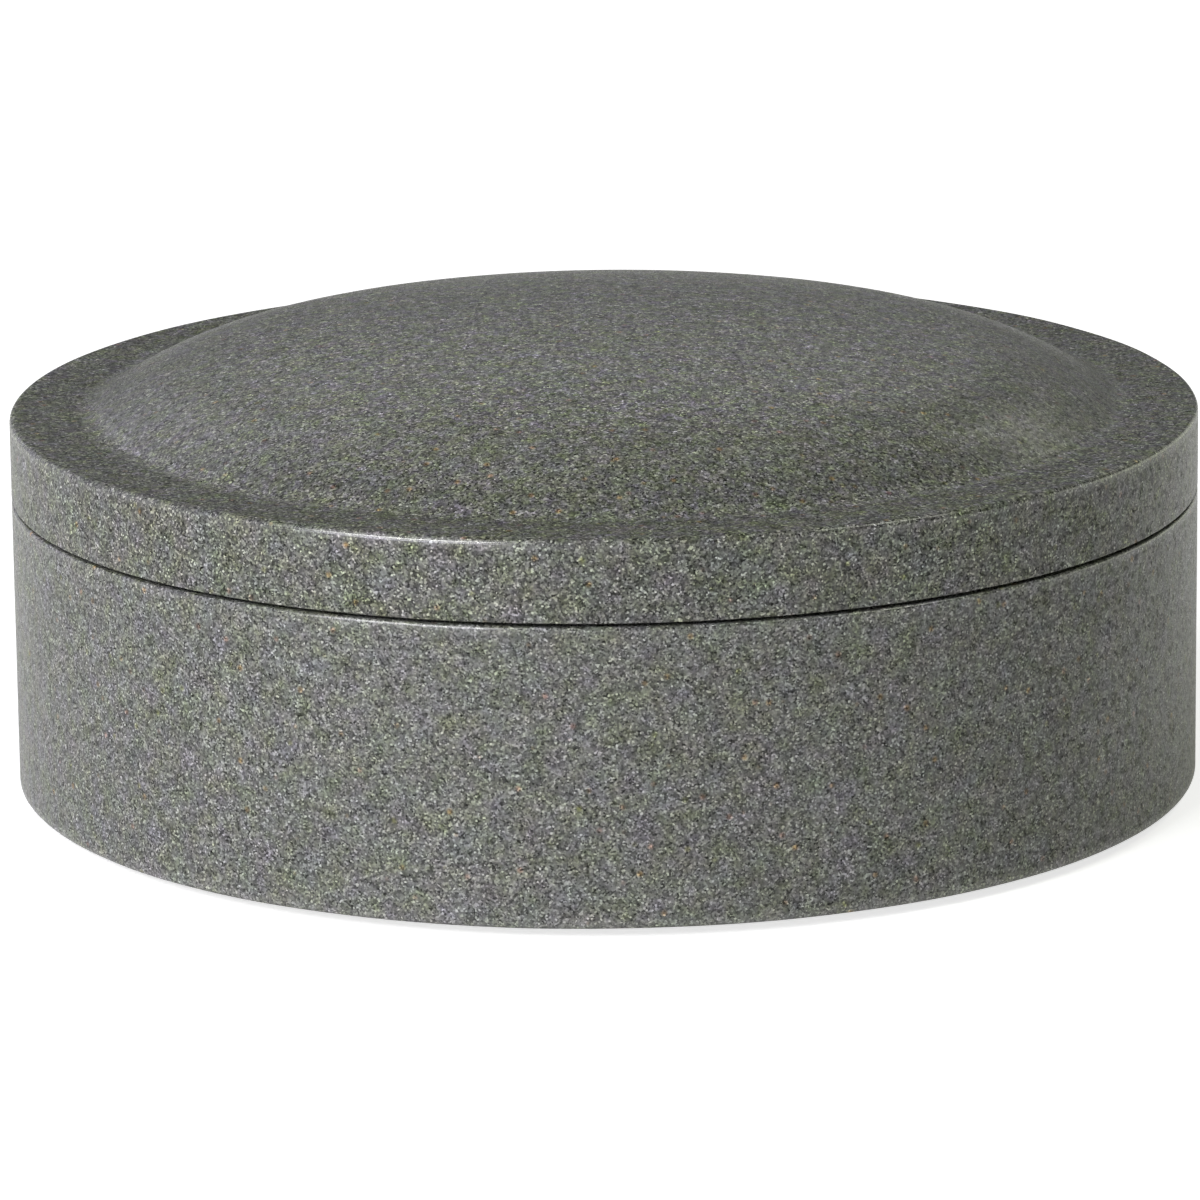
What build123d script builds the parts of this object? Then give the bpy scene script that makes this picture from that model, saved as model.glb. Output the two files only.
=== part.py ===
from build123d import *
import math
import os

# A round box turned from stone: an open base, a domed lid that lifts off it, and felt pads to stand on.
# Millimetres, +Z up. The origin is under the middle of the box, on the surface that the pads stand on.

# Base
outer_diameter = 200.0
base_height = 49.9
wall_thickness = 11.0
floor_thickness = 11.0
cavity_corner_radius = 6.0
seam_gap = 0.55  # how far the outer part of the rim lies below the seat, a dark line under the lid
seam_gap_depth = 5.0  # from the outer wall in to the seat

# Lid, a flat rim round a low dome
rim_thickness = 13.6
rim_width = 13.5
dome_rise = 15.0
crown_share = 0.72  # of the dome's radius, where the shallow crown turns into the steeper shoulder
crown_drop_share = 0.35  # of the dome's rise, how far the crown falls from its middle to that turn
cove_radius = 6.0  # where the dome's foot runs out into the flat rim
dome_thickness = 15.0
dish_corner_radius = 4.0

# Ring under the lid that centres it in the base's mouth
ring_depth = 6.0
ring_width = 9.0
ring_clearance = 0.8
ring_root_share = 0.75  # of the clearance, so that the rounded root never meets the mouth

# Eased edges
foot_edge_radius = 1.0
base_rim_edge_radius = 0.55
mouth_edge_radius = 1.2
lid_seam_edge_radius = 0.3
lid_rim_edge_radius = 1.0
ring_edge_radius = 1.2

# Felt pads
pad_count = 4
pad_diameter = 16.0
pad_thickness = 1.5
pad_inset = 25.0  # from the outer wall to a pad's middle

# Heights and radii that follow from the sizes above
outer_radius = outer_diameter / 2
cavity_radius = outer_radius - wall_thickness
seam_height = pad_thickness + base_height
gap_height = seam_height - seam_gap
cavity_floor = pad_thickness + floor_thickness
rim_height = seam_height + rim_thickness
dome_top = rim_height + dome_rise
dome_radius = outer_radius - rim_width
crown_edge = crown_share * dome_radius
crown_drop = crown_drop_share * dome_rise
crown_radius = (crown_edge**2 + crown_drop**2) / (2 * crown_drop)

ring_outer = cavity_radius - ring_clearance
ring_inner = ring_outer - ring_width
ring_bottom = seam_height - ring_depth

# The hollow under the lid has the crown's centre, so the stone over it is equally thick under the crown.
dish_radius = crown_radius - dome_thickness
dish_top = dome_top - dome_thickness
dish_edge = dish_top - dish_radius + math.sqrt(dish_radius**2 - ring_inner**2)


def edge_at(piece, radius, height):
    """The piece's round edges of one radius at one height."""
    near = 0.01
    rounds = piece.edges().filter_by(GeomType.CIRCLE)
    level = rounds.filter_by_position(Axis.Z, height - near, height + near)
    return level.filter_by(lambda edge: abs(edge.radius - radius) < near)


os.makedirs("parts", exist_ok=True)


# Base
with BuildPart() as base:
    with BuildSketch(Plane.XY.offset(pad_thickness)):
        Circle(outer_radius)
    extrude(amount=base_height)
    with BuildSketch(Plane.XY.offset(cavity_floor)):
        Circle(cavity_radius)
    extrude(amount=seam_height - cavity_floor, mode=Mode.SUBTRACT)
    with BuildSketch(Plane.XY.offset(gap_height)):
        Circle(outer_radius)
        Circle(outer_radius - seam_gap_depth, mode=Mode.SUBTRACT)
    extrude(amount=seam_gap, mode=Mode.SUBTRACT)
    fillet(edge_at(base, cavity_radius, cavity_floor), cavity_corner_radius)
    fillet(edge_at(base, cavity_radius, seam_height), mouth_edge_radius)
    fillet(edge_at(base, outer_radius, gap_height), base_rim_edge_radius)
    fillet(edge_at(base, outer_radius, pad_thickness), foot_edge_radius)
base.part.label = "stone_base"
export_step(base.part, "parts/stone_base.step")

# Lid, one profile turned about the box's axis
with BuildPart() as lid:
    with BuildSketch(Plane.XZ):
        with BuildLine():
            crown = TangentArc((0, dome_top), (crown_edge, dome_top - crown_drop), tangent=(1, 0))
            shoulder = TangentArc(crown @ 1, (dome_radius, rim_height), tangent=crown % 1)
            Polyline(
                shoulder @ 1,
                (outer_radius, rim_height),
                (outer_radius, seam_height),
                (ring_outer, seam_height),
                (ring_outer, ring_bottom),
                (ring_inner, ring_bottom),
                (ring_inner, dish_edge),
            )
            dish = TangentArc((0, dish_top), (ring_inner, dish_edge), tangent=(1, 0))
            Line(dish @ 0, crown @ 0)
        make_face()
    revolve(axis=Axis.Z)
    fillet(edge_at(lid, outer_radius, rim_height), lid_rim_edge_radius)
    fillet(edge_at(lid, dome_radius, rim_height), cove_radius)
    fillet(edge_at(lid, outer_radius, seam_height), lid_seam_edge_radius)
    fillet(edge_at(lid, ring_outer, seam_height), ring_root_share * ring_clearance)
    fillet(edge_at(lid, ring_outer, ring_bottom), ring_edge_radius)
    fillet(edge_at(lid, ring_inner, ring_bottom), ring_edge_radius)
    fillet(edge_at(lid, ring_inner, dish_edge), dish_corner_radius)
lid.part.label = "stone_lid"
export_step(lid.part, "parts/stone_lid.step")

# Felt pads, evenly spaced on a circle under the base
for number in range(pad_count):
    turn = 360 / pad_count * (number + 0.5)
    with BuildPart() as pad:
        with BuildSketch(Plane.XY):
            with PolarLocations(outer_radius - pad_inset, 1, start_angle=turn):
                Circle(pad_diameter / 2)
        extrude(amount=pad_thickness)
    pad.part.label = f"felt_pad_{number + 1}"
    export_step(pad.part, f"parts/{pad.part.label}.step")
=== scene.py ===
"""A round box of honed grey stone with a domed lid, on felt pads, dressed around its CAD frame.

Lengths are metres in the frame of the CAD model: +Z up, the origin under the middle of the box.
"""
import math
from collections import namedtuple

import bpy
import numpy as np
from mathutils import Matrix, Vector

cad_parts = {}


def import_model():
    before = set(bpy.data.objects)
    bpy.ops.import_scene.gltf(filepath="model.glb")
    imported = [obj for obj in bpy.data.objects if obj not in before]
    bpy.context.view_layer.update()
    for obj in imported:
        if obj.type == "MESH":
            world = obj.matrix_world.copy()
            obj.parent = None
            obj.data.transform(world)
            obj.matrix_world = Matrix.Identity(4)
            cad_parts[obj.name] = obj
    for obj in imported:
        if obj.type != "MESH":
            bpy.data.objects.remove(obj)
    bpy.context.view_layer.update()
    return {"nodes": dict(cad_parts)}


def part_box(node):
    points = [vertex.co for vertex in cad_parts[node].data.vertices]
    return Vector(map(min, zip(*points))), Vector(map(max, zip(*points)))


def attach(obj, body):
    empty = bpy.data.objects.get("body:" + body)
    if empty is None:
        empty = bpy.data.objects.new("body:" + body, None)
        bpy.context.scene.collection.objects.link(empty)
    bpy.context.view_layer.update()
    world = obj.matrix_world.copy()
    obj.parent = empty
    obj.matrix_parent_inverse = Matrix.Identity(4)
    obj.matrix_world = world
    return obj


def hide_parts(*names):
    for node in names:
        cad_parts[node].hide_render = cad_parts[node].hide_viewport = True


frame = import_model()

MM = 0.001

# Sizes read from the frame
base_low, base_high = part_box("stone_base")
lid_low, lid_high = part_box("stone_lid")
OUTER_RADIUS = (base_high.x - base_low.x) / 2
STONE_BOTTOM = base_low.z
SEAM_HEIGHT = base_high.z
RING_BOTTOM = lid_low.z
DOME_TOP = lid_high.z

# Sizes of the turned profiles, as in the CAD model
WALL_THICKNESS = 11 * MM
FLOOR_THICKNESS = 11 * MM
CAVITY_CORNER_RADIUS = 6 * MM
RIM_WIDTH = 13.5 * MM
DOME_RISE = 15 * MM
CROWN_SHARE = 0.72
CROWN_DROP_SHARE = 0.35
COVE_RADIUS = 6 * MM
DOME_THICKNESS = 15 * MM
DISH_CORNER_RADIUS = 4 * MM
RING_WIDTH = 9 * MM
RING_CLEARANCE = 0.8 * MM
RING_ROOT_RADIUS = 0.6 * MM
RING_EDGE_RADIUS = 1.2 * MM
FOOT_EDGE_RADIUS = 1.0 * MM
BASE_RIM_EDGE_RADIUS = 0.55 * MM
MOUTH_EDGE_RADIUS = 1.2 * MM
LID_SEAM_EDGE_RADIUS = 0.3 * MM
LID_RIM_EDGE_RADIUS = 1.0 * MM
SEAM_GAP = 0.55 * MM
SEAM_GAP_DEPTH = 5 * MM

# Small shapes that only the dressed part has: eased seat, soft pads, worn edges, walls that stray from true
SEAT_EDGE_RADIUS = 0.15 * MM
PAD_EDGE_RADIUS = 0.45 * MM
EDGE_WEAR = 0.07  # how much a worn edge's rounding varies, as a share
LEAST_WORN = 0.4
MOST_WORN = 1.6
WEAR_WAVE = 35 * MM
UNEVENNESS = 0.03 * MM
UNEVEN_WAVE = 30 * MM
UNEVEN_SKIN = 2 * MM  # the base is uneven within this depth of its outer wall
UNEVEN_ABOVE = 1 * MM  # the lid is uneven from this far above the seam
WAVES = 18
SHORTEST_WAVE = 0.6  # as shares of the stated wavelength
LONGEST_WAVE = 1.6
BASE_SEED = 26
LID_SEED = 36
PAD_SEED = 46

# How finely the pieces are turned
TURNS = 540
PAD_TURNS = 72
STEP = 4 * MM  # along the straight runs of a profile
CORNER_STEPS = 7
DISH_STEPS = 22
CROWN_STEPS = 20
SHOULDER_STEPS = 12
TINY = 1e-9  # keeps a division from failing where two points coincide

# Where an edge looks worn: how far that reaches beside it, and how level its surface may lie
EDGE_FADE = 0.9 * MM
EDGE_IN_FULL = 0.5  # vertical part of the normal up to which the edge counts in full
EDGE_NOT_AT_ALL = 0.9  # and from which it doesn't count

# Colours of the two stones, as linear light, and where in the pattern each is cut
BASE_COLOUR = (0.159, 0.164, 0.154, 1)
LID_COLOUR = (0.161, 0.167, 0.151, 1)
BASE_SHIFT = (0.0, 0.0, 0.0)
LID_SHIFT = (0.31, 0.17, 0.23)

# Sizes of the stone's pattern
GRAIN = 0.31 * MM
CRYSTAL = 0.9 * MM
TINT_PATCH = 3.8 * MM
BLUSH_PATCH = 5.0 * MM
TINT_DETAIL = 3.0
TINT_ROUGHNESS = 0.6
CLOUD = 9 * MM
CLOUD_DETAIL = 2.0
STRAY_SPACING = 4.2 * MM
STRAY_SIZE = 0.7 * MM
STRAY_CORE = 0.3  # share of a stain's size that has its full colour
PIT_SPACING = 4.4 * MM
PIT_SIZE = 0.25 * MM

# What the pattern multiplies the stone's colour by, for random draws and noise from 0 to 1
GRAIN_SHADES = [
    (0.00, 0.10),
    (0.08, 0.30),
    (0.30, 0.62),
    (0.60, 1.02),
    (0.85, 1.62),
    (0.96, 2.40),
    (1.00, 3.60),
]
VIOLET_TO_OLIVE = [
    (0.28, (1.035, 0.972, 1.13)),
    (0.50, (1.00, 1.00, 0.95)),
    (0.72, (0.965, 1.028, 0.74)),
]
GREEN_TO_PINK = [(0.30, (0.955, 1.013, 1.0)), (0.70, (1.045, 0.987, 1.0))]
CRYSTAL_SHADES = [(0.0, 0.62), (1.0, 1.38)]
CRYSTAL_HUES = [(0.0, (1.05, 0.97, 1.22)), (1.0, (0.95, 1.03, 0.78))]
CLOUD_SHADES = [(0.25, 0.965), (0.75, 1.035)]
OCHRE_PINK_OLIVE = [
    (0.00, (1.42, 1.00, 0.60)),
    (0.45, (1.38, 0.95, 0.82)),
    (0.75, (1.08, 1.10, 0.66)),
]
EDGE_SHADE = 1.08
PIT_COLOUR = (38, 37, 34)  # display levels

# The stone's gloss and relief
ROUGHNESS = 0.30
ROUGHNESS_SPREAD = 0.07
EDGE_ROUGHNESS = 0.22
GLOSSIEST = 0.95
DULLEST = 0.05
EDGE_GLOSS = 0.5
STONE_IOR = 1.5
EDGE_IOR = 1.9
RELIEF_STRENGTH = 0.35
RELIEF_DEPTH = 0.03 * MM
PIT_DEPTH = 4.0  # times the grains' relief

# Each stone's finish from its middle out: how light, how contrasty, how mottled and how glossy it is.
# The base is the same all over. The lid has a dome, the dome's foot, a flat rim, which is matt, and a wall.
# On the lid's top, how light is painted light and shade in rings: a painted shadow band low on the dome's
# flank, a painted light line round its foot and painted shade on the flat rim.
PLAIN = [(0 * MM, 1.0), (OUTER_RADIUS, 1.0)]
NONE = [(0 * MM, 0.0), (OUTER_RADIUS, 0.0)]
BASE_FINISH = {"shade": PLAIN, "contrast": PLAIN, "mottle": NONE, "gloss": PLAIN}
LID_FINISH_AND_PAINTED_SHADING = {
    # On the lid's top this lightness is painted light and shade, not the stone's own tone
    "shade": [
        (0 * MM, 1.01),
        (66 * MM, 1.07),
        (78 * MM, 1.04),
        # painted shadow: a dark band low on the dome's flank
        (83.8 * MM, 0.86),
        # painted light: a light line round the dome's foot
        (84.8 * MM, 1.04),
        (87 * MM, 1.02),
        # painted shade: the flat rim made darker
        (89 * MM, 0.83),
        (99 * MM, 0.83),
        (99.9 * MM, 0.85),
    ],
    "contrast": [
        (0 * MM, 1.15),
        (60 * MM, 1.12),
        (72 * MM, 0.88),
        (84 * MM, 0.88),
        (89 * MM, 1.10),
        (98.6 * MM, 1.10),
        (99.9 * MM, 1.20),
    ],
    "mottle": [
        (0 * MM, 0.95),
        (60 * MM, 0.90),
        (72 * MM, 0.70),
        (98.6 * MM, 0.70),
        (99.9 * MM, 0.00),
    ],
    "gloss": [
        (0 * MM, 1.0),
        (87 * MM, 1.0),
        (88.5 * MM, 0.15),
        (98.9 * MM, 0.15),
        (99.9 * MM, 1.0),
    ],
}

# Felt
FIBRE = 0.4 * MM
FIBRE_DETAIL = 4.0
FELT_SHADES = [(0.3, (38, 38, 39)), (0.7, (74, 74, 75))]  # for noise from 0 to 1, in display levels
FELT_ROUGHNESS = 0.95

# Lamps: name, degrees round from the camera's side, degrees up, width, height, watts, colour
LAMP_DISTANCE = 3.0
LAMP_TARGET = Vector((0, 0, 0.04))
COOL = (1.02, 1.00, 1.10)
BLUE = (1.03, 1.00, 1.18)
EVEN = (1.00, 1.00, 1.00)
WARM = (0.97, 1.00, 0.85)
LAMPS = [
    ("key", -38, 6, 2.0, 0.9, 29, COOL),
    ("upper_key", -40, 30, 1.8, 0.8, 49, EVEN),
    ("high", -52, 58, 1.8, 0.7, 14, EVEN),
    ("left", -112, 22, 6.0, 3.4, 34.5, BLUE),
    ("right_high", 80, 56, 1.0, 1.0, 13, WARM),
    ("right_rear", 122, 10, 3.8, 1.1, 15.5, WARM),
    ("rear_right", 150, 32, 0.6, 0.5, 1.7, WARM),
    ("rear", 180, 25, 1.2, 0.6, 1.0, COOL),
    ("rear_wide", 180, 20, 4.4, 1.2, 1.2, COOL),
    ("rear_low", 180, 9, 3.2, 0.6, 0.9, BLUE),
    ("rear_high", 180, 45, 1.6, 0.8, 0.9, WARM),
]

# Floor and world. The floor's glow rises with the distance, so that it shows white as far as it reaches.
WHITE = (1, 1, 1, 1)
FLOOR_HALF = 6.0
FLOOR_COLOUR = (0.8, 0.8, 0.8, 1)
NEAR_GLOW = 0.72
NEAR_GLOW_TO = 0.6  # from the box's middle
FAR_GLOW = 1.0
FAR_GLOW_FROM = 2.5
FLOOR_GLOW_IN_GLOSS = 0.22
FLOOR_COLOUR_IN_GLOSS = (1.0, 1.0, 0.94, 1)
WORLD_GLOW_IN_GLOSS = 0.05

# The photograph's camera, for a square picture
LENS_MM = 229.76
SENSOR_MM = 36
CLIP_START = 0.05
CLIP_END = 50
EYE = Vector((0, -1.26127, 0.34540))
LOOK_DOWN = math.radians(14.025)
LOOK_LEFT = math.radians(0.045)
ROLL = math.radians(-0.658)


def placed(name, data):
    """A new object in the scene."""
    made = bpy.data.objects.new(name, data)
    bpy.context.scene.collection.objects.link(made)
    return made


# Turned meshes

# A profile's corner: its place, the radius that rounds it, and how much wear lets that vary round the box.
Corner = namedtuple("Corner", "at radius wear")

# A point along a profile: a fixed place, the offset from it at a rounding of radius 1, the radius, the wear.
Row = namedtuple("Row", "at offset radius wear")


def corner(r, z, radius=0.0, wear=0.0):
    return Corner(np.array([r, z]), radius, wear)


def plain_row(at):
    return Row(at, np.zeros(2), 0.0, 0.0)


def unit(vector):
    return vector / np.linalg.norm(vector)


def arc(top, radius, end, steps):
    """Plain corners along an arc that is level on the axis, at the height top, and falls away to r = end."""
    return [corner(r, top - radius + math.sqrt(radius**2 - r**2)) for r in np.linspace(0, end, steps + 1)]


def ripple(points, wavelength, seed):
    """A smooth random field of about unit size, as a sum of waves in random directions."""
    rng = np.random.default_rng(seed)
    directions = rng.normal(size=(WAVES, 3))
    directions /= np.linalg.norm(directions, axis=1, keepdims=True)
    lengths = wavelength * rng.uniform(SHORTEST_WAVE, LONGEST_WAVE, WAVES)
    phases = rng.uniform(0, 2 * math.pi, WAVES)
    total = np.zeros(len(points))
    for direction, length, phase in zip(directions, lengths, phases):
        total += np.sin(points @ direction * 2 * math.pi / length + phase)
    return total / math.sqrt(WAVES / 2)


def rounded(corners):
    """The rows of a profile: its plain corners, and points along the arc of each rounded one."""
    rows = []
    for i, c in enumerate(corners):
        if not c.radius:
            rows.append(plain_row(c.at))
            continue
        back = unit(corners[i - 1].at - c.at)
        on = unit(corners[i + 1].at - c.at)
        half = math.acos(np.clip(back @ on, -1, 1)) / 2
        centre = unit(back + on) / math.sin(half)
        start = back / math.tan(half) - centre
        end = on / math.tan(half) - centre
        sweep = math.pi - 2 * half
        for t in np.linspace(0, 1, CORNER_STEPS + 1):
            spoke = (math.sin((1 - t) * sweep) * start + math.sin(t * sweep) * end) / math.sin(sweep)
            rows.append(Row(c.at, centre + spoke, c.radius, c.wear))
    return rows


def filled(rows):
    """The rows with plain points added along straight runs, at each step and close to each worn edge."""
    out = [rows[0]]
    for row in rows[1:]:
        last = out[-1]
        p = last.at + last.offset * last.radius
        q = row.at + row.offset * row.radius
        length = np.linalg.norm(q - p)
        count = int(length / STEP)
        marks = [k / (count + 1) for k in range(1, count + 1)]
        if count and last.wear:
            marks.append(EDGE_FADE / length)
        if count and row.wear:
            marks.append(1 - EDGE_FADE / length)
        out.extend(plain_row(p + (q - p) * mark) for mark in sorted(marks))
        out.append(row)
    return out


def swept(grid, ring):
    """The grid's points (radius, height), each at its angle on the ring, as x, y, z."""
    radii = grid[..., 0]
    return np.stack([radii * ring[:, 0], radii * ring[:, 1], grid[..., 1]], 2).reshape(-1, 3)


def turned_faces(row_count, turns):
    """Faces between the rows of a turned mesh, and a fan to the point at each end, all facing outward."""
    first = row_count * turns
    last = first + 1
    tail = (row_count - 1) * turns
    faces = []
    for j in range(turns):
        n = (j + 1) % turns
        faces.append((first, n, j))
        for a in range(0, tail, turns):
            b = a + turns
            faces.append((a + j, a + n, b + n, b + j))
        faces.append((tail + j, tail + n, last))
    return faces


def turned(name, corners, exposed, seed, turns=TURNS, centre=(0, 0)):
    """A closed mesh of the profile turned about an upright axis.

    exposed(r, z) says how uneven the surface may be there. The attribute edge is 1 on the worn edges.
    """
    rows = filled(rounded(corners))[1:-1]
    angles = np.arange(turns) * 2 * math.pi / turns
    ring = np.stack([np.cos(angles), np.sin(angles), np.zeros(turns)], 1)
    grid = np.zeros((len(rows), turns, 2))
    for k, row in enumerate(rows):
        worn = 1 + row.wear * ripple(ring * OUTER_RADIUS + [0, 0, row.at[1]], WEAR_WAVE, seed)
        grid[k] = row.at + row.offset * row.radius * np.clip(worn, LEAST_WORN, MOST_WORN)[:, None]

    # The surface is only ever pressed in, by nothing up to the full unevenness.
    along = np.gradient(grid, axis=0)
    along /= np.maximum(np.linalg.norm(along, axis=2, keepdims=True), TINY)
    outward = np.stack([along[..., 1], -along[..., 0]], 2)
    field = ripple(swept(grid, ring), UNEVEN_WAVE, seed + 1).reshape(grid.shape[:2])
    depth = UNEVENNESS * np.clip(0.5 + 0.25 * field, 0, 1) * exposed(grid[..., 0], grid[..., 1])
    grid -= outward * depth[..., None]

    ends = [(0, 0, corners[0].at[1]), (0, 0, corners[-1].at[1])]
    points = np.vstack([swept(grid, ring), ends]) + [*centre, 0]
    mesh = bpy.data.meshes.new(name)
    mesh.from_pydata(points.tolist(), [], turned_faces(len(rows), turns))
    level = np.abs(outward[..., 1])
    upright = np.clip((EDGE_NOT_AT_ALL - level) / (EDGE_NOT_AT_ALL - EDGE_IN_FULL), 0, 1)
    edges = (np.array([row.wear > 0 for row in rows])[:, None] * upright).ravel()
    mesh.attributes.new("edge", "FLOAT", "POINT").data.foreach_set("value", np.append(edges, [0.0, 0.0]))
    mesh.shade_smooth()
    mesh.update()
    return placed(name, mesh)


def base_profile():
    """From the middle of the underside, out and up the wall, over the rim, down and in along the hollow."""
    cavity_radius = OUTER_RADIUS - WALL_THICKNESS
    cavity_floor = STONE_BOTTOM + FLOOR_THICKNESS
    seat_radius = OUTER_RADIUS - SEAM_GAP_DEPTH
    gap_height = SEAM_HEIGHT - SEAM_GAP
    return [
        corner(0, STONE_BOTTOM),
        corner(OUTER_RADIUS, STONE_BOTTOM, FOOT_EDGE_RADIUS, EDGE_WEAR),
        corner(OUTER_RADIUS, gap_height, BASE_RIM_EDGE_RADIUS, EDGE_WEAR),
        corner(seat_radius, gap_height, SEAT_EDGE_RADIUS),
        corner(seat_radius, SEAM_HEIGHT, SEAT_EDGE_RADIUS),
        corner(cavity_radius, SEAM_HEIGHT, MOUTH_EDGE_RADIUS, EDGE_WEAR),
        corner(cavity_radius, cavity_floor, CAVITY_CORNER_RADIUS),
        corner(0, cavity_floor),
    ]


def lid_profile():
    """From the middle of the hollow, down the ring, out along the seat, up the wall and over the dome."""
    rim_height = DOME_TOP - DOME_RISE
    dome_radius = OUTER_RADIUS - RIM_WIDTH
    crown_edge = CROWN_SHARE * dome_radius
    crown_drop = CROWN_DROP_SHARE * DOME_RISE
    crown_radius = (crown_edge**2 + crown_drop**2) / (2 * crown_drop)
    ring_outer = OUTER_RADIUS - WALL_THICKNESS - RING_CLEARANCE
    ring_inner = ring_outer - RING_WIDTH
    dish = arc(DOME_TOP - DOME_THICKNESS, crown_radius - DOME_THICKNESS, ring_inner, DISH_STEPS)
    dish[-1] = dish[-1]._replace(radius=DISH_CORNER_RADIUS)
    crown = arc(DOME_TOP, crown_radius, crown_edge, CROWN_STEPS)

    # The shoulder's arc is tangent to the crown and ends at the dome's foot.
    tilt = math.asin(crown_edge / crown_radius)
    start = crown[-1].at
    foot = np.array([dome_radius, rim_height])
    inward = np.array([-math.sin(tilt), -math.cos(tilt)])
    chord = foot - start
    shoulder_radius = (chord @ chord) / (2 * chord @ inward)
    middle = start + shoulder_radius * inward
    tilt_end = math.asin((foot - middle)[0] / shoulder_radius)
    tilts = np.linspace(tilt, tilt_end, SHOULDER_STEPS + 1)[1:]
    shoulder = [corner(*(middle + shoulder_radius * np.array([math.sin(t), math.cos(t)]))) for t in tilts]
    shoulder[-1] = shoulder[-1]._replace(radius=COVE_RADIUS)
    return [
        *dish,
        corner(ring_inner, RING_BOTTOM, RING_EDGE_RADIUS),
        corner(ring_outer, RING_BOTTOM, RING_EDGE_RADIUS),
        corner(ring_outer, SEAM_HEIGHT, RING_ROOT_RADIUS),
        corner(OUTER_RADIUS, SEAM_HEIGHT, LID_SEAM_EDGE_RADIUS),
        corner(OUTER_RADIUS, rim_height, LID_RIM_EDGE_RADIUS, EDGE_WEAR),
        *reversed(shoulder),
        *reversed(crown),
    ]


def on_base_wall(r, z):
    """1 on the base's outer wall, 0 elsewhere."""
    return (r > OUTER_RADIUS - UNEVEN_SKIN) * 1.0


def above_seam(r, z):
    """1 above the seam, where the lid's wall, rim and dome are, 0 below it."""
    return (z > SEAM_HEIGHT + UNEVEN_ABOVE) * 1.0


def felt_pad(node, seed):
    """A soft-edged disc of felt in the place of a pad's node."""
    low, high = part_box(node)
    radius = (high.x - low.x) / 2
    profile = [
        corner(0, low.z),
        corner(radius, low.z, PAD_EDGE_RADIUS, EDGE_WEAR),
        corner(radius, high.z, PAD_EDGE_RADIUS, EDGE_WEAR),
        corner(0, high.z),
    ]
    middle = ((low.x + high.x) / 2, (low.y + high.y) / 2)
    return turned(node + "_felt", profile, lambda r, z: (r > radius / 2) * 1.0, seed, PAD_TURNS, middle)


# Nodes that the materials are made of

def add(tree, kind, links=None, **settings):
    """A node with its settings and what feeds its inputs: a socket or a plain value."""
    made = tree.nodes.new(kind)
    for key, value in settings.items():
        setattr(made, key, value)
    for key, value in (links or {}).items():
        if isinstance(value, bpy.types.NodeSocket):
            tree.links.new(value, made.inputs[key])
        else:
            made.inputs[key].default_value = value
    return made


def calc(tree, operation, a, b):
    """What an operation makes of two numbers."""
    return add(tree, "ShaderNodeMath", {0: a, 1: b}, operation=operation).outputs[0]


def remap(tree, value, low, high, from_low=0.0, from_high=1.0):
    """A number moved from one range to another, and kept inside it."""
    ranges = {0: value, 1: from_low, 2: from_high, 3: low, 4: high}
    return add(tree, "ShaderNodeMapRange", ranges).outputs[0]


def mix(tree, factor, a, b, blend="MIX"):
    """The colour a, blended with the colour b by the factor."""
    made = add(tree, "ShaderNodeMix", {0: factor, 6: a, 7: b}, data_type="RGBA", blend_type=blend)
    return made.outputs[2]


def times(tree, a, b, factor=1.0):
    """The colour a, multiplied by the colour b, in full or by a factor."""
    return mix(tree, factor, a, b, "MULTIPLY")


def ramp(tree, value, stops, interpolation="LINEAR"):
    """A colour ramp through (position, colour) stops, where a single number stands for a grey."""
    made = add(tree, "ShaderNodeValToRGB", {"Fac": value})
    made.color_ramp.interpolation = interpolation
    elements = made.color_ramp.elements
    while len(elements) < len(stops):
        elements.new(1.0)
    for element, (position, colour) in zip(elements, stops):
        element.position = position
        element.color = (*np.broadcast_to(colour, 3), 1)
    return made.outputs["Color"]


def cells(tree, place, size):
    """Random cells of about the size: the distance from each one's middle, and its three random draws."""
    made = add(tree, "ShaderNodeTexVoronoi", {"Vector": place, "Scale": 1 / size})
    draws = add(tree, "ShaderNodeSeparateColor", {"Color": made.outputs["Color"]}).outputs
    return made.outputs["Distance"], draws


def noise(tree, place, size, detail, roughness=0.5):
    """Smooth noise from 0 to 1, with patches of about the size."""
    inputs = {"Vector": place, "Scale": 1 / size, "Detail": detail, "Roughness": roughness}
    return add(tree, "ShaderNodeTexNoise", inputs).outputs["Fac"]


def srgb(levels):
    """A colour given as 0 to 255 display levels, as linear light."""
    return tuple((v / 255 / 12.92) if v <= 10 else ((v / 255 + 0.055) / 1.055) ** 2.4 for v in levels)


def new_material(name):
    """A material with one shader: the material, its nodes and the shader."""
    material = bpy.data.materials.new(name)
    material.use_nodes = True
    tree = material.node_tree
    tree.nodes.clear()
    shader = add(tree, "ShaderNodeBsdfPrincipled")
    add(tree, "ShaderNodeOutputMaterial", {"Surface": shader.outputs[0]})
    return material, tree, shader


# Stone

def by_radius(tree, spot, finish_and_painted_shading):
    """Each level of the finish, and of the lid's painted light and shade, at the spot's distance from the
    box's axis.
    """
    flat = add(tree, "ShaderNodeVectorMath", {0: spot, 1: (1, 1, 0)}, operation="MULTIPLY").outputs[0]
    radius = add(tree, "ShaderNodeVectorMath", {0: flat}, operation="LENGTH").outputs["Value"]
    share = calc(tree, "DIVIDE", radius, OUTER_RADIUS)
    return {
        name: ramp(tree, share, [(r / OUTER_RADIUS, level) for r, level in stops])
        for name, stops in finish_and_painted_shading.items()
    }


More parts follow.
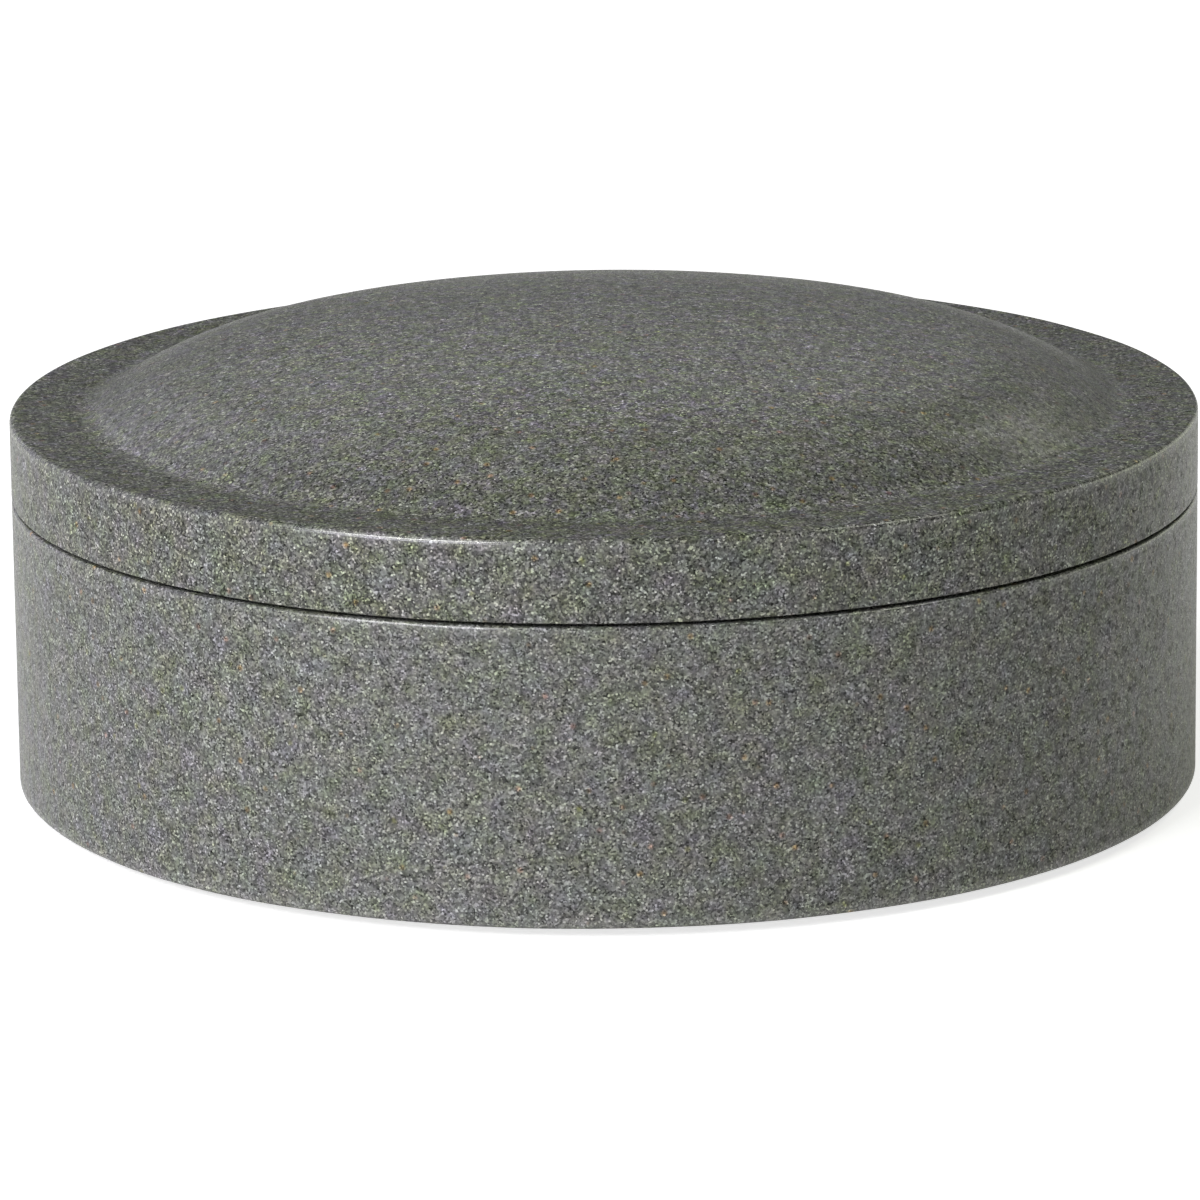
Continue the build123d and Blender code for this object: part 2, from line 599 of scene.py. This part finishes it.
def stone_colour(tree, place, tone, levels, grain, crystal, pit):
    """The stone's colour, with the lid's painted light and shade. grain and crystal are the random draws of
    each, and pit is 1 in a pit.
    """
    # Grains, each of one shade, and tints a few grains wide
    tint = ramp(tree, noise(tree, place, TINT_PATCH, TINT_DETAIL, TINT_ROUGHNESS), VIOLET_TO_OLIVE)
    blush = ramp(tree, noise(tree, place, BLUSH_PATCH, TINT_DETAIL, TINT_ROUGHNESS), GREEN_TO_PINK)
    colour = times(tree, ramp(tree, grain[0], GRAIN_SHADES), times(tree, tint, blush))

    # A mottling of larger crystals, and cloudy patches
    mottle = times(tree, ramp(tree, crystal[0], CRYSTAL_SHADES), ramp(tree, crystal[2], CRYSTAL_HUES))
    colour = times(tree, colour, mottle, levels["mottle"])
    colour = times(tree, colour, ramp(tree, noise(tree, place, CLOUD, CLOUD_DETAIL), CLOUD_SHADES))
    colour = add(tree, "ShaderNodeGamma", {"Color": colour, "Gamma": levels["contrast"]}).outputs[0]
    colour = times(tree, colour, tone)

    # A few small stains of ochre, pink and olive, and dark pits
    distance, stray = cells(tree, place, STRAY_SPACING)
    reach = STRAY_SIZE / STRAY_SPACING
    near = remap(tree, distance, 0.0, 1.0, reach, STRAY_CORE * reach)
    colour = times(tree, colour, ramp(tree, stray[0], OCHRE_PINK_OLIVE, "CONSTANT"), near)
    colour = mix(tree, pit, colour, (*srgb(PIT_COLOUR), 1))

    # Lighter and darker rings: on the lid's top, painted light and shade
    return times(tree, colour, levels["shade"])


def stone_material(name, shift, tone, finish_and_painted_shading):
    """Fine-grained honed stone of one tone, with the finish, and on the lid painted light and shade,
    changing from its middle out.

    shift moves the pattern, so that two stones aren't cut from one place.
    """
    material, tree, shader = new_material(name)
    spot = add(tree, "ShaderNodeTexCoord").outputs["Object"]
    place = add(tree, "ShaderNodeVectorMath", {0: spot, 1: shift}, operation="ADD").outputs[0]
    edge = add(tree, "ShaderNodeAttribute", attribute_name="edge").outputs["Fac"]
    levels = by_radius(tree, spot, finish_and_painted_shading)
    _, grain = cells(tree, place, GRAIN)
    _, crystal = cells(tree, place, CRYSTAL)
    distance, pit_draws = cells(tree, place, PIT_SPACING)
    pit_reach = calc(tree, "MULTIPLY", pit_draws[0], PIT_SIZE / PIT_SPACING)
    pit = calc(tree, "LESS_THAN", distance, pit_reach)

    # Colour, a little lighter on the rubbed edges
    colour = stone_colour(tree, place, tone, levels, grain, crystal, pit)
    colour = times(tree, colour, (EDGE_SHADE, EDGE_SHADE, EDGE_SHADE, 1), edge)
    tree.links.new(colour, shader.inputs["Base Color"])

    # A satin gloss that differs between grains and crystals, and is stronger and smoother on the edges
    rough = remap(tree, grain[1], ROUGHNESS - ROUGHNESS_SPREAD, ROUGHNESS + ROUGHNESS_SPREAD)
    smoother = calc(tree, "MULTIPLY", edge, ROUGHNESS - EDGE_ROUGHNESS)
    tree.links.new(calc(tree, "SUBTRACT", rough, smoother), shader.inputs["Roughness"])
    tree.links.new(remap(tree, edge, STONE_IOR, EDGE_IOR), shader.inputs["IOR"])
    gloss = calc(tree, "MULTIPLY", remap(tree, crystal[1], GLOSSIEST, DULLEST), levels["gloss"])
    tree.links.new(remap(tree, edge, gloss, EDGE_GLOSS), shader.inputs["Specular IOR Level"])

    # A shallow relief of the grains and pits
    height = calc(tree, "SUBTRACT", grain[2], calc(tree, "MULTIPLY", pit, PIT_DEPTH))
    relief = {"Height": height, "Strength": RELIEF_STRENGTH, "Distance": RELIEF_DEPTH}
    tree.links.new(add(tree, "ShaderNodeBump", relief).outputs[0], shader.inputs["Normal"])
    return material


# Felt

def felt_material():
    """Dark pressed felt."""
    material, tree, shader = new_material("felt")
    place = add(tree, "ShaderNodeTexCoord").outputs["Object"]
    fibres = noise(tree, place, FIBRE, FIBRE_DETAIL)
    shade = ramp(tree, fibres, [(position, srgb(levels)) for position, levels in FELT_SHADES])
    tree.links.new(shade, shader.inputs["Base Color"])
    shader.inputs["Roughness"].default_value = FELT_ROUGHNESS
    return material


# Stage

def floor():
    """A wide pale floor that shows white to the camera and keeps the box's shadow."""
    low = -FLOOR_HALF
    high = FLOOR_HALF
    mesh = bpy.data.meshes.new("floor")
    mesh.from_pydata([(low, low, 0), (high, low, 0), (high, high, 0), (low, high, 0)], [], [(0, 1, 2, 3)])
    made = placed("floor", mesh)
    material = bpy.data.materials.new("floor")
    material.use_nodes = True
    tree = material.node_tree
    tree.nodes.clear()
    diffuse = add(tree, "ShaderNodeBsdfDiffuse", {"Color": FLOOR_COLOUR})
    path = add(tree, "ShaderNodeLightPath").outputs
    clear = calc(tree, "MAXIMUM", path["Is Camera Ray"], path["Is Transmission Ray"])
    spot = add(tree, "ShaderNodeTexCoord").outputs["Object"]
    distance = add(tree, "ShaderNodeVectorMath", {0: spot}, operation="LENGTH").outputs["Value"]
    whiten = remap(tree, distance, NEAR_GLOW, FAR_GLOW, NEAR_GLOW_TO, FAR_GLOW_FROM)
    seen = calc(tree, "MULTIPLY", clear, whiten)
    mirrored = calc(tree, "MULTIPLY", path["Is Glossy Ray"], FLOOR_GLOW_IN_GLOSS)
    tone = mix(tree, path["Is Glossy Ray"], WHITE, FLOOR_COLOUR_IN_GLOSS)
    strength = calc(tree, "ADD", seen, mirrored)
    glow = add(tree, "ShaderNodeEmission", {"Color": tone, "Strength": strength})
    both = add(tree, "ShaderNodeAddShader", {0: diffuse.outputs[0], 1: glow.outputs[0]})
    add(tree, "ShaderNodeOutputMaterial", {"Surface": both.outputs[0]})
    mesh.materials.append(material)


def world():
    """White to the camera, faint in the gloss and dark to the rest, so that the lamps light the box."""
    made = bpy.data.worlds.new("world")
    bpy.context.scene.world = made
    made.use_nodes = True
    tree = made.node_tree
    tree.nodes.clear()
    path = add(tree, "ShaderNodeLightPath").outputs
    seen = calc(tree, "MAXIMUM", path["Is Camera Ray"], path["Is Transmission Ray"])
    mirrored = calc(tree, "MULTIPLY", path["Is Glossy Ray"], WORLD_GLOW_IN_GLOSS)
    strength = calc(tree, "ADD", seen, mirrored)
    background = add(tree, "ShaderNodeBackground", {"Color": WHITE, "Strength": strength})
    add(tree, "ShaderNodeOutputWorld", {"Surface": background.outputs[0]})


def softbox(name, azimuth, elevation, width, height, power, colour):
    """A soft lamp aimed at the box."""
    data = bpy.data.lights.new(name, "AREA")
    data.shape = "RECTANGLE"
    data.size = width
    data.size_y = height
    data.energy = power
    data.color = colour
    made = placed(name, data)
    a = math.radians(azimuth)
    e = math.radians(elevation)
    away = Vector((math.sin(a) * math.cos(e), -math.cos(a) * math.cos(e), math.sin(e)))
    made.location = LAMP_TARGET + away * LAMP_DISTANCE
    made.rotation_mode = "QUATERNION"
    made.rotation_quaternion = away.to_track_quat("Z", "Y")


def camera():
    """The photograph's camera, at its eye point and turned its way."""
    data = bpy.data.cameras.new("camera")
    data.sensor_width = SENSOR_MM
    data.lens = LENS_MM
    data.clip_start = CLIP_START
    data.clip_end = CLIP_END
    made = placed("camera", data)
    level = math.cos(LOOK_DOWN)
    forward = Vector((-math.sin(LOOK_LEFT) * level, math.cos(LOOK_LEFT) * level, -math.sin(LOOK_DOWN)))
    right = forward.cross(Vector((0, 0, 1))).normalized()
    up = right.cross(forward)
    rolled_right = math.cos(ROLL) * right + math.sin(ROLL) * up
    rolled_up = -math.sin(ROLL) * right + math.cos(ROLL) * up
    turn = Matrix((rolled_right, rolled_up, -forward)).transposed().to_4x4()
    made.matrix_world = Matrix.Translation(EYE) @ turn
    bpy.context.scene.camera = made


# The two stones

base_stone = turned("base_stone", base_profile(), on_base_wall, BASE_SEED)
base_stone.data.materials.append(stone_material("stone_base", BASE_SHIFT, BASE_COLOUR, BASE_FINISH))
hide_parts("stone_base")
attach(base_stone, "base")

lid_stone = turned("lid_stone", lid_profile(), above_seam, LID_SEED)
# The lid's colour carries painted light and shade in rings on its top
lid_stone.data.materials.append(stone_material("stone_lid", LID_SHIFT, LID_COLOUR, LID_FINISH_AND_PAINTED_SHADING))
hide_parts("stone_lid")
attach(lid_stone, "lid")

# The felt pads
felt = felt_material()
for number, node in enumerate(sorted(name for name in frame["nodes"] if name.startswith("felt_pad"))):
    pad = felt_pad(node, PAD_SEED + number)
    pad.data.materials.append(felt)
    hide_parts(node)
    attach(pad, "base")

floor()
world()
for lamp in LAMPS:
    softbox(*lamp)
camera()

scene = bpy.context.scene
scene.view_settings.view_transform = "Standard"
